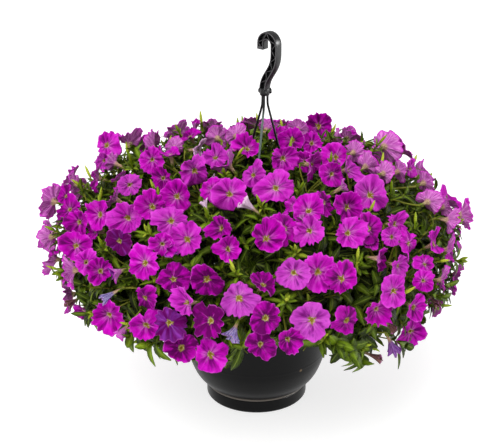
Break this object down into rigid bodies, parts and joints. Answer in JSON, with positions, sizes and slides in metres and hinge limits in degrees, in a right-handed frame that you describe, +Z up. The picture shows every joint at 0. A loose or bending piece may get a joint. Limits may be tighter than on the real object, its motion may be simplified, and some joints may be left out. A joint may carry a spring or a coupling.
{
  "type": "petunia hanging basket",
  "caption": "Round dome of trailing petunias in a bowl-shaped hanging pot with a drip saucer and a stranded plastic hanger that ends in a hook.",
  "frame": {"origin": "centre of the drip saucer's underside", "axes": "+Z up along the bowl's axis, -Y to the front of the basket, +X to the right of the front"},
  "size_m": [0.7603, 0.7565, 0.6809],
  "materials": {
    "pot": "charcoal moulded plastic with a soft sheen and fine turned lines",
    "hanger": "near-black moulded plastic with satin highlights",
    "soil": "dark crumbly potting soil",
    "foliage": "soft, slightly downy green leaves and stems",
    "petals": "velvety magenta petals with darker veins and a pale throat"
  },
  "bodies": {
    "root": {"pot": "pot", "drip_saucer": "pot", "soil": "soil", "hook": "hanger", "strand_1": "hanger", "strand_2": "hanger", "strand_3": "hanger", "leafy_stem_01": "foliage", "leafy_stem_02": "foliage", "leafy_stem_03": "foliage", "leafy_stem_04": "foliage", "leafy_stem_05": "foliage", "leafy_stem_06": "foliage", "leafy_stem_07": "foliage", "leafy_stem_08": "foliage", "leafy_stem_09": "foliage", "leafy_stem_10": "foliage", "leafy_stem_11": "foliage", "leafy_stem_12": "foliage", "leafy_stem_13": "foliage", "leafy_stem_14": "foliage", "leafy_stem_15": "foliage", "leafy_stem_16": "foliage", "leafy_stem_17": "foliage", "leafy_stem_18": "foliage", "leafy_stem_19": "foliage", "leafy_stem_20": "foliage", "leafy_stem_21": "foliage", "leafy_stem_22": "foliage", "leafy_stem_23": "foliage", "leafy_stem_24": "foliage", "leafy_stem_25": "foliage", "leafy_stem_26": "foliage", "bloom_spray_01": "petals", "bloom_spray_02": "petals", "bloom_spray_03": "petals", "bloom_spray_04": "petals", "bloom_spray_05": "petals", "bloom_spray_06": "petals", "bloom_spray_07": "petals", "bloom_spray_08": "petals", "bloom_spray_09": "petals", "bloom_spray_10": "petals", "bloom_spray_11": "petals", "bloom_spray_12": "petals", "bloom_spray_13": "petals", "bloom_spray_14": "petals", "bloom_spray_15": "petals", "bloom_spray_16": "petals", "bloom_spray_17": "petals", "bloom_spray_18": "petals", "bloom_spray_19": "petals", "bloom_spray_20": "petals", "bloom_spray_21": "petals", "bloom_spray_22": "petals", "bloom_spray_23": "petals", "bloom_spray_24": "petals", "bloom_spray_25": "petals", "bloom_spray_26": "petals"}
  },
  "joints": []
}
